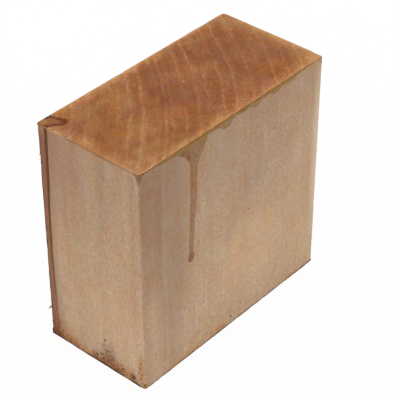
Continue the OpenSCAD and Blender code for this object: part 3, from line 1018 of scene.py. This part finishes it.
# Broad blotches where the end took up most wax, and where it is redder or more golden.
DEEP_BLOTCHES = [
    on_top(138, 44, 26, 30), on_top(76, 11, 15, 13), on_top(122, 28, 34, 20), on_top(106, 46, 36, 24),
    on_top(43, 68, 30, 7), on_top(80, 36, 34, 18), on_top(144, 40, 18, 20),
]
RED_BLOTCHES = [
    on_top(94, 22, 14, 9), on_top(143, 45, 12, 15), on_top(100, 62, 40, 12), on_top(50, 30, 16, 14),
    on_top(16, 17, 10, 10), on_top(66, 50, 30, 16), on_top(128, 58, 14, 10),
]
GOLDEN_BLOTCHES = [
    on_top(45, 20, 18, 20), on_top(20, 24, 18, 16), on_top(30, 46, 50, 24), on_top(20, 64, 42, 18),
    on_top(22, 12, 22, 14), on_top(122, 10, 24, 10), on_top(150, 62, 22, 20), on_top(147, 10, 14, 16),
]
# Where the film on the end dried palest, where it stayed deep, and where it was rubbed thin.
PALE_EDGES = [
    on_top(58, 0, 90, 9), on_top(122, 0, 46, 6), on_top(BLOCK_W + 1, 38, 13, 80),
    on_top(BLOCK_W - 3, BLOCK_T - 3, 20, 12),
]
DEEP_EDGES = [on_top(0, 36, 7, 50), on_top(0, 12, 9, 6)]
RUBBED_THIN = [
    on_top(2, BLOCK_T - 2, 15, 12), on_top(0, 20, 14, 13), on_top(9, BLOCK_T, 16, 2.6),
    on_top(0, BLOCK_T - 10, 2.6, 14),
]
# Fibres crushed pale, most of them at the left edge, and painted highlights along both edges at the front
# left corner.
PALE_FLECKS_AND_HIGHLIGHTS = [
    on_top(0.4, 9.2, 2.2, 1.0), on_top(0.5, 13.2, 2.8, 2.2), on_top(0.4, 15.6, 1.6, 1.2),
    on_top(0.3, 18, 1.4, 1.0), on_top(82.2, 32.8, 1.3, 2.0), on_top(9, BLOCK_T - 0.3, 9, 1.0),
    on_top(0.3, BLOCK_T - 6, 1.0, 7), on_top(2, 23, 5, 0.7),
]


def end_grain(tree, place):
    """The colour of cherry's end grain wetted by wax, and its pores as a relief."""
    in_trunk = wood_place(tree, place)
    # The rings come and go along their length.
    plain = add(tree, "MapRange", {
        "Value": mottle(tree, place, (7, 7, 7), seed=8.8),
        "From Min": 0.36, "From Max": 0.64, "To Min": 0.38, "To Max": 0.88,
    })
    pale = add(tree, "Math", [pale_rings(tree, in_trunk), plain], operation="MULTIPLY")
    # The end dried, and paled, from its edges inwards.
    arris = add(tree, "Attribute", attribute_name="arris").outputs["Fac"]
    inwards = ragged(tree, arris, [(mottle(tree, place, (5, 5, 5), seed=5.5, detail=4), 9.0)])
    dried = add(tree, "MapRange", {"Value": inwards, "From Min": 9, "From Max": 0.5})
    # Pores of 0.7 mm stand for cherry's, which are too fine to show.
    pores = mottle(tree, in_trunk, (0.7, 1.1, 4), seed=3.8)
    value = summed(tree, 0.76, [
        (pale, 0.27),
        (dried, 0.22),
        (growth_bands(tree, in_trunk), 0.16),
        (mottle(tree, place, (26, 20, 26), seed=1.2), 0.46),
        (mottle(tree, in_trunk, (5, 16, 26), seed=4.6), 0.3),
        (mottle(tree, in_trunk, (1.6, 5, 26), seed=2.5, detail=3), 0.3),
        (mottle(tree, in_trunk, (8, 0.8, 6), seed=7.1), 0.14),
        (pores, 0.76),
    ])
    colour = wood_colour(tree, value, ["#562813", "#8D532B", "#C38D5A"])
    cloudy = mottle(tree, in_trunk, (3, 6, 9), seed=7.7, detail=3)
    for code, strength, spots in [
        ("#804C28", 0.5, DEEP_BLOTCHES), ("#9C5A3C", 0.28, RED_BLOTCHES), ("#AE8452", 0.3, GOLDEN_BLOTCHES),
    ]:
        colour = spotted(tree, place, colour, code, strength, spots, 1.5, 0.1, [(cloudy, 1.8)])
    colour = tinged(tree, place, colour, 0.03, 0.2)
    relief = summed(tree, 0.5, [(pores, 0.7), (pale, 0.3)])
    return colour, relief


def waxed_end_grain():
    """Cherry end grain under brushed hot wax: deep orange brown and satin, with rings, mottle and pores."""
    material, tree, place = new_finish("waxed_end_grain")
    colour, relief = end_grain(tree, place)
    arris = add(tree, "Attribute", attribute_name="arris").outputs["Fac"]
    pocket = add(tree, "Attribute", attribute_name="pocket").outputs["Fac"]

    # The wax is thicker along the edges, and looks more yellow there. On the rounding itself it is painted
    # brown: painted shade that offsets the light falling on the rounding.
    cloudy = mottle(tree, place, (3, 3, 3), seed=5.5, detail=4)
    colour = stained(tree, colour, "#CE9C66", 0.3, ragged(tree, arris, [(cloudy, 5.0)]), 2.6, -0.8)
    colour = stained(tree, colour, "#8A5C2C", 0.22, ragged(tree, arris, [(cloudy, 3.0)]), 0.8, -0.2)
    for code, strength, spots, full, weight in [
        ("#D09E68", 0.4, PALE_EDGES, 0.1, 1.5),
        ("#94623A", 0.55, DEEP_EDGES, 0.2, 1.5),
        ("#A67E60", 0.65, RUBBED_THIN, -0.1, 3.0),
    ]:
        colour = spotted(tree, place, colour, code, strength, spots, 1.1, full, [(cloudy, weight)])
    # Grit stuck where it was rubbed.
    grains = mottle(tree, place, (0.8, 0.8, 0.8), seed=4.2, detail=3)
    colour = spotted(tree, place, colour, "#6A4630", 0.65, RUBBED_THIN, 0.083, -0.667, [(grains, -5.0)])
    # Pale crushed fibres, and painted highlights at the front left corner.
    colour = spotted(tree, place, colour, "#D6B892", 0.55, PALE_FLECKS_AND_HIGHLIGHTS, 1.0, 0.3, [(grains, 3.5)])

    # The bark pocket: a golden corner in a deep outline, which is darkest at its tip and at the back.
    colour = stained(tree, colour, "#85522C", 0.8, pocket, 0.3, -0.7)
    colour = spotted(tree, place, colour, "#A87340", 0.8, [on_top(2.6, 2.4, 6, 5)], 1.0, 0.3)
    off_line = add(tree, "Math", [add(tree, "Math", [pocket, 0.3])], operation="ABSOLUTE")
    faded = mottle(tree, place, (1.6, 1.6, 1.6), seed=2.8, detail=3)
    colour = stained(tree, colour, "#622A08", 0.9, ragged(tree, off_line, [(faded, 2.4)]), 1.9, 0.2)
    colour = spotted(tree, place, colour, "#64290C", 0.85, [on_top(10.4, 10.4, 6, 4.6)], 1.2, 0.3)
    colour = spotted(tree, place, colour, "#341A06", 0.9, [on_top(7, 0.4, 6.5, 3)], 1.1, 0.5)
    soft = mottle(tree, place, (1.4, 1.4, 1.4), seed=1.1)
    colour = spotted(tree, place, colour, "#5E2F1B", 0.65, PIN_KNOTS, 1.1, 0.4, [(soft, 0.8)])

    # The brush left long soft ridges in the wax, 2.5 mm apart.
    brush = mottle(tree, place, (30, 2.5, 2.5), seed=6.1)
    relief = summed(tree, 0.5, [(relief, 0.6), (brush, 0.6)])
    rough = summed(tree, 0.46, [(relief, 0.3)])
    surface(tree, colour, rough, relief, 0.1, ior=1.44, shine=0.06)
    return material


# Where the laps are so thin that they hardly wet the wood, and where they are deepest.
THIN_LAPS = [
    on_front(152, 3, 22, 12), on_front(1, 2.6, 7, 8), on_left(BLOCK_T - 1, 2.6, 7, 8), on_front(103, 3, 8, 5),
    on_front(128, 4, 10, 5),
]
DEEP_LAPS = [
    on_front(DRIP_X - DRIP_LEAN, DRIP_LEN - DROP_RISE, 7, 8), on_front(4, 1.2, 2.6, 3),
    on_left(BLOCK_T - 4, 1.2, 2.6, 3), on_front(DRIP_X - 9, 4, 7, 5), on_front(DRIP_X - 4.5, 9, 4, 8),
]
NOTCH_MARKS = [on_front(4.2, 1.3, 2.4, 2.2), on_left(BLOCK_T - 4.4, 1.3, 2.6, 2.2)]
# Where the dark line along the foot is plain on the left face.
FOOT_LINE = [on_left(0, 151, 12, 5), on_left(43, 151, 26, 5), on_left(68, 151, 12, 4)]


def lapped_grain(tree, place, wetted):
    """Side grain under a lap of wax, with the tint that it gives, its relief and how wet its front is."""
    colour, relief = side_grain(tree, place)
    film = add(tree, "Attribute", attribute_name="film").outputs["Fac"]
    # The wax ends in a clear edge on the front, and feathers out on the other sides.
    on_face = front_share(tree, place)
    feathered = add(tree, "MapRange", {"Value": film, "From Max": 1.4})
    wet = add(tree, "Math", [on_face, feathered], operation="MAXIMUM")
    thin = add(tree, "MapRange", {
        "Value": nearest_spot(tree, place, THIN_LAPS),
        "From Min": 1.0, "From Max": 0.3, "To Min": 1.0, "To Max": 0.3,
    })
    cloudy = summed(tree, 0.85, [(mottle(tree, place, (1.5, 1.5, 2.4), seed=8.2, detail=3), 1.5)])
    wet = add(tree, "Math", [wet, thin], operation="MULTIPLY")
    wet = add(tree, "Math", [wet, cloudy], operation="MULTIPLY", use_clamp=True)
    mixed = {"Factor": wet, "A": colour, "B": linear(wetted)}
    colour = add(tree, "Mix", mixed, data_type="RGBA", blend_type="MULTIPLY")
    return colour, relief, add(tree, "Math", [wet, on_face], operation="MULTIPLY").outputs[0]


def lapped_wax():
    """Cherry side grain under the top's lap of hot wax: deeper, warmer, and darkest at edges and arrises."""
    material, tree, place = new_finish("lapped_wax")
    colour, relief, wet = lapped_grain(tree, place, "#DCCBBA")
    film = add(tree, "Attribute", attribute_name="film").outputs["Fac"]
    arris = add(tree, "Attribute", attribute_name="arris").outputs["Fac"]

    def wet_stain(colour, code, share, value, clear, full):
        """A stain as strong as its share of how wet the wood is."""
        strength = add(tree, "Math", [wet, share], operation="MULTIPLY")
        return stained(tree, colour, code, strength, value, clear, full)

    colour = wet_stain(colour, "#94703C", 0.7, arris, 5.5, 0.6)
    # It took up reddish dust in places, and darkened most at the drop and at the funnel's left side.
    dusty = mottle(tree, place, (2.8, 2.8, 4), seed=7.1, detail=3)
    colour = wet_stain(colour, "#A8694E", 0.35, dusty, 0.5, 0.72)
    colour = spotted(tree, place, colour, "#6E4630", 0.5, DEEP_LAPS, 1.2, 0.3, [(dusty, 1.0)])
    colour = wet_stain(colour, "#7A563C", 0.36, film, 1.0, 0.3)
    # At the right end it soaked in, pinkish, and only the arris is dark.
    soaked = on_front(BLOCK_W - 5, 2.5, 2 * SOAKED_REACH + 2, 9)
    colour = spotted(tree, place, colour, "#B28C74", 0.75, [soaked], 1.2, 0.5)
    colour = spotted(tree, place, colour, "#7A3E22", 0.8, [on_front(BLOCK_W, 2, 1.8, 8)], 1.2, 0.5)
    # The wax gathers in a dark broken line just under the arris.
    broken = mottle(tree, place, (4, 4, 2), seed=3.3, detail=3)
    plain = add(tree, "MapRange", {"Value": wet, "From Max": 0.8, "To Min": 0.26, "To Max": 0.72})
    colour = stained(tree, colour, "#70501E", plain, ragged(tree, arris, [(broken, 4.4)]), 1.7, 0.2)
    # The run down the worn arris has dark upper corners.
    colour = spotted(tree, place, colour, "#4E2A1A", 0.8, NOTCH_MARKS, 1.1, 0.4)
    # At the back of the left side it was crushed away.
    crushed = on_left(13, 0.6, 20, 4)
    colour = spotted(tree, place, colour, "#B4906E", 0.75, [crushed], 1.2, 0.2, [(broken, 2.0)])
    rough = summed(tree, 0.45, [(relief, 0.3)])
    surface(tree, colour, rough, relief, 0.06, ior=1.44, shine=0.04)
    return material


def foot_wax():
    """Cherry side grain above the foot's wax: ochre where it crept up, with a thin grimy line at the foot."""
    material, tree, place = new_finish("foot_wax")
    colour, relief, _ = lapped_grain(tree, place, "#FEF8EC")
    arris = add(tree, "Attribute", attribute_name="arris").outputs["Fac"]
    # The line is grime from the bench, widest in places on the left and plainest on the front.
    wide = add(tree, "MapRange", {
        "Value": nearest_spot(tree, place, FOOT_LINE), "From Min": 1.3, "From Max": 0.4, "To Max": 1.2,
    })
    line = ragged(tree, arris, [(mottle(tree, place, (7, 7, 2), seed=3.3), 1.4)])
    line = add(tree, "Math", [line, wide], operation="SUBTRACT")
    grimy = add(tree, "Math", [front_share(tree, place), 0.05, 0.9], operation="MULTIPLY_ADD")
    colour = stained(tree, colour, "#2A1406", grimy, line, 1.1, 0.4)
    # The chipped front left corner shows cleaner, olive wood.
    colour = spotted(tree, place, colour, "#94743C", 0.75, [((0, 0, 1), (3, 2.5, 2.5))], 1.1, 0.6)
    rough = summed(tree, 0.5, [(relief, 0.3)])
    surface(tree, colour, rough, relief, 0.06, ior=1.44, shine=0.04)
    return material


# ---------------------------------------------------------------- the pieces

end_finish = waxed_end_grain()
timber = build_timber(sawn_cherry())
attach(timber, "root")
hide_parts("timber_block")

top_wax = build_top_film([end_finish, lapped_wax()])
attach(top_wax, "root")
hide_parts("top_end_wax")

bottom_wax = build_bottom_film([end_finish, foot_wax()])
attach(bottom_wax, "root")
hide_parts("bottom_end_wax")

# ---------------------------------------------------------------- floor, light and camera

FLOOR_REACH = 6000
FLOOR_COLOUR = "#FDFDFD"
# How much of the floor a camera sees as plain white. The rest keeps the block's shadow.
FLOOR_GLOW = 0.92


def white_floor():
    """A plain pale floor: it is white to the camera, and still darkens a little under the block."""
    material = bpy.data.materials.new("studio_floor")
    tree = emptied(material)
    matt = add(tree, "BsdfDiffuse", {"Color": linear(FLOOR_COLOUR)})
    glow = add(tree, "Emission", {"Color": linear("#FFFFFF"), "Strength": 1.0})
    seen = add(tree, "LightPath").outputs["Is Camera Ray"]
    share = add(tree, "Math", [seen, FLOOR_GLOW], operation="MULTIPLY")
    mixed = add(tree, "MixShader", [share, matt, glow])
    add(tree, "OutputMaterial", {"Surface": mixed})
    return material


floor_mesh = bpy.data.meshes.new("floor")
floor_corners = [
    (x * FLOOR_REACH * MM, y * FLOOR_REACH * MM, 0)
    for x, y in [(-1, -1), (1, -1), (1, 1), (-1, 1)]
]
floor_mesh.from_pydata(floor_corners, [], [(0, 1, 2, 3)])
floor_mesh.materials.append(white_floor())
floor = bpy.data.objects.new("floor", floor_mesh)
bpy.context.scene.collection.objects.link(floor)

# The world lights the block at this level, and is plain white to the camera and in reflections.
WORLD_LEVEL = 0.8
world = bpy.data.worlds.new("studio")
sky_tree = emptied(world)
path = add(sky_tree, "LightPath").outputs
seen = add(sky_tree, "Math", [path["Is Camera Ray"], path["Is Glossy Ray"]], operation="MAXIMUM")
seen = add(sky_tree, "Math", [seen, path["Is Transmission Ray"]], operation="MAXIMUM")
level = add(sky_tree, "MapRange", {"Value": seen, "To Min": WORLD_LEVEL, "To Max": 1.0})
sky = add(sky_tree, "Background", {"Color": linear("#FFFFFF"), "Strength": level})
add(sky_tree, "OutputWorld", {"Surface": sky})
bpy.context.scene.world = world


def aimed(name, data, aim, azimuth, elevation, distance):
    """A lamp or camera that looks at aim, from a direction in degrees and a distance."""
    holder = bpy.data.objects.new(name, data)
    a, e = math.radians(azimuth), math.radians(elevation)
    back = Vector((math.sin(a) * math.cos(e), -math.cos(a) * math.cos(e), math.sin(e)))
    holder.location = (Vector(aim) + back * distance) * MM
    holder.rotation_euler = back.to_track_quat("Z", "Y").to_euler()
    bpy.context.scene.collection.objects.link(holder)
    return holder


# Two square soft lamps face the block's middle. Each is (name, azimuth, elevation, power).
LAMP_SIZE = 1200
LAMP_DISTANCE = 1600
for lamp_name, azimuth, elevation, power in [("key", -50, 45, 9.5), ("fill", 140, 35, 3.5)]:
    light = bpy.data.lights.new(lamp_name, "AREA")
    light.size = LAMP_SIZE * MM
    light.energy = power
    aimed(lamp_name, light, (0, 0, BLOCK_H / 2), azimuth, elevation, LAMP_DISTANCE)

camera_data = bpy.data.cameras.new("camera")
camera_data.lens = 137.56
camera_data.sensor_width = 36
camera = aimed("camera", camera_data, (4.9, -7.3, 74.5), azimuth=-49.03, elevation=37.02, distance=895.1)
bpy.context.scene.camera = camera
bpy.context.scene.view_settings.view_transform = "Standard"
